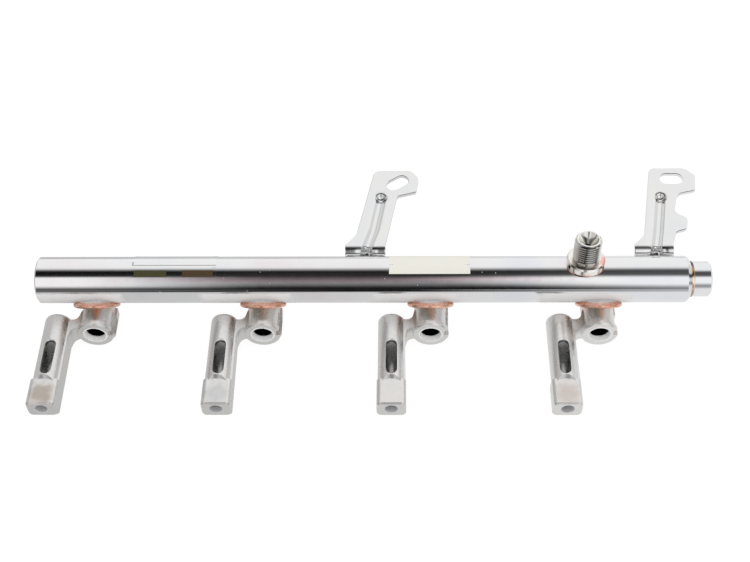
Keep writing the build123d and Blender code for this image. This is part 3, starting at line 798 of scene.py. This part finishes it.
def makeFloor():
    bpy.ops.object.select_all(action="DESELECT")
    bpy.ops.mesh.primitive_plane_add(size=studio["floorSize"], location=(0, 0, cadBox[0][2]))
    floor = bpy.context.active_object
    floor.name = "floor"
    bpy.ops.object.transform_apply(location=True, rotation=True, scale=True)
    mat = bpy.data.materials.new("paleFloor")
    tree, out = bareTree(mat, "ShaderNodeOutputMaterial")
    diffuse = tree.nodes.new("ShaderNodeBsdfDiffuse")
    diffuse.inputs["Color"].default_value = studio["floorColour"]
    split = splitNode(tree, tree.nodes.new("ShaderNodeTexCoord").outputs["Object"])
    reach = studio["reflectedFloorAcross"]
    near, far = (spanRamp(tree, split["X"], studio[key], -reach, reach) for key in ("reflectedFloorNear", "reflectedFloorFar"))
    # the floor's painted reflection, light behind and dark in front
    reflectedFloor = mixColour(tree, fadeNode(tree, split["Y"], *studio["reflectedFloorFade"]), near, far)
    path, straight = lightPath(tree)
    glow = tree.nodes.new("ShaderNodeEmission")
    tree.links.new(mixColour(tree, straight, reflectedFloor, grey(studio["floorGlow"])), glow.inputs["Color"])
    share = mathNode(tree, "MULTIPLY", straight, studio["floorShare"])
    mix = tree.nodes.new("ShaderNodeMixShader")
    tree.links.new(mathNode(tree, "MAXIMUM", share, path.outputs["Is Glossy Ray"]), mix.inputs[0])
    tree.links.new(diffuse.outputs[0], mix.inputs[1])
    tree.links.new(glow.outputs[0], mix.inputs[2])
    tree.links.new(mix.outputs[0], out.inputs["Surface"])
    floor.data.materials.append(mat)


# the studio's soft boxes and dark flags, by angle about the rail's length:
# 0 is level in front, 90 is overhead, 180 is level behind
skyLeft = [(0, 0.08), (6, 0.14), (11, 0.36), (17, 0.76), (23, 1.0), (58, 1.0), (63, 0.75), (67, 0.22),
           (71, 0.03), (78, 0.012), (83, 0.004), (91, 0.008), (97, 0.09), (102, 0.32), (107, 0.70),
           (115, 0.95), (180, 0.97)]
skyMiddle = [(0, 0.008), (9, 0.010), (16, 0.045), (24, 0.14), (36, 0.25), (45, 0.25), (54, 0.15),
             (62, 0.09), (68, 0.035), (82, 0.016), (91, 0.016), (97, 0.15), (103, 0.40), (109, 0.75),
             (117, 0.94), (180, 0.97)]
skyRight = [(0, 0.34), (8, 0.36), (15, 0.52), (21, 0.78), (29, 1.0), (57, 1.0), (62, 0.83), (67, 0.46),
            (72, 0.18), (78, 0.09), (92, 0.08), (98, 0.14), (103, 0.36), (109, 0.72), (117, 0.97),
            (180, 0.97)]
skyFades = {
    "left": (-0.10, -0.27), "right": (-0.03, 0.15), "slant": 0.0025, "slantAngle": 52.0,
    "farLeft": (-0.29, -0.50), "farLeftLevel": 0.60, "farRight": (0.66, 0.88), "farRightLevel": 0.75,
}


def makeSky():
    world = bpy.data.worlds.new("studioSky")
    bpy.context.scene.world = world
    tree, out = bareTree(world, "ShaderNodeOutputWorld")
    coord = tree.nodes.new("ShaderNodeTexCoord")
    split = splitNode(tree, coord.outputs["Generated"])
    across, angle = split["X"], frontAngle(tree, split)
    left, middle, right = (spanRamp(tree, angle, sky, 0, 180) for sky in (skyLeft, skyMiddle, skyRight))
    mirror = mixColour(tree, fadeNode(tree, across, *skyFades["left"]), middle, left)
    lean = mathNode(tree, "ABSOLUTE", mathNode(tree, "SUBTRACT", angle, skyFades["slantAngle"]))
    slanted = mathNode(tree, "SUBTRACT", across, mathNode(tree, "MULTIPLY", lean, skyFades["slant"]))
    mirror = mixColour(tree, fadeNode(tree, slanted, *skyFades["right"]), mirror, right)
    for side in ("farLeft", "farRight"):
        fade = fadeNode(tree, across, *skyFades[side])
        level = mixColour(tree, fade, grey(1), grey(skyFades[side + "Level"]))
        mirror = vectorNode(tree, "MULTIPLY", mirror, level)
    path, straight = lightPath(tree)
    light = mixColour(tree, path.outputs["Is Glossy Ray"], grey(studio["roomLight"]), mirror)
    light = mixColour(tree, straight, light, grey(1))
    lit = tree.nodes.new("ShaderNodeBackground")
    tree.links.new(light, lit.inputs["Color"])
    tree.links.new(lit.outputs[0], out.inputs["Surface"])


makeFloor()
makeSky()
print("studio ready")

cameraPlace = {
    "place": (48.36 * mm, -335.33 * mm, 528.60 * mm), "pixels": 1245.75, "width": 750,
    "yaw": -1.845, "pitch": 51.72, "roll": -1.543, "sensor": 36, "near": 0.01, "far": 50,
}


def makeCamera():
    yaw, pitch, roll = (math.radians(cameraPlace[k]) for k in ("yaw", "pitch", "roll"))
    ahead = Vector((math.sin(yaw) * math.cos(pitch), math.cos(yaw) * math.cos(pitch), -math.sin(pitch)))
    level = Vector((math.cos(yaw), -math.sin(yaw), 0))
    upright = level.cross(ahead)
    right = math.cos(roll) * level + math.sin(roll) * upright
    top = -math.sin(roll) * level + math.cos(roll) * upright
    turn = Matrix((right, top, -ahead)).transposed().to_4x4()
    data = bpy.data.cameras.new("camera")
    data.sensor_width = cameraPlace["sensor"]
    data.lens = cameraPlace["pixels"] / cameraPlace["width"] * cameraPlace["sensor"]
    data.clip_start, data.clip_end = cameraPlace["near"], cameraPlace["far"]
    camera = bpy.data.objects.new("camera", data)
    bpy.context.scene.collection.objects.link(camera)
    camera.matrix_world = Matrix.Translation(cameraPlace["place"]) @ turn
    bpy.context.scene.camera = camera


makeCamera()
bpy.context.scene.view_settings.view_transform = "Standard"

print("scene ready")
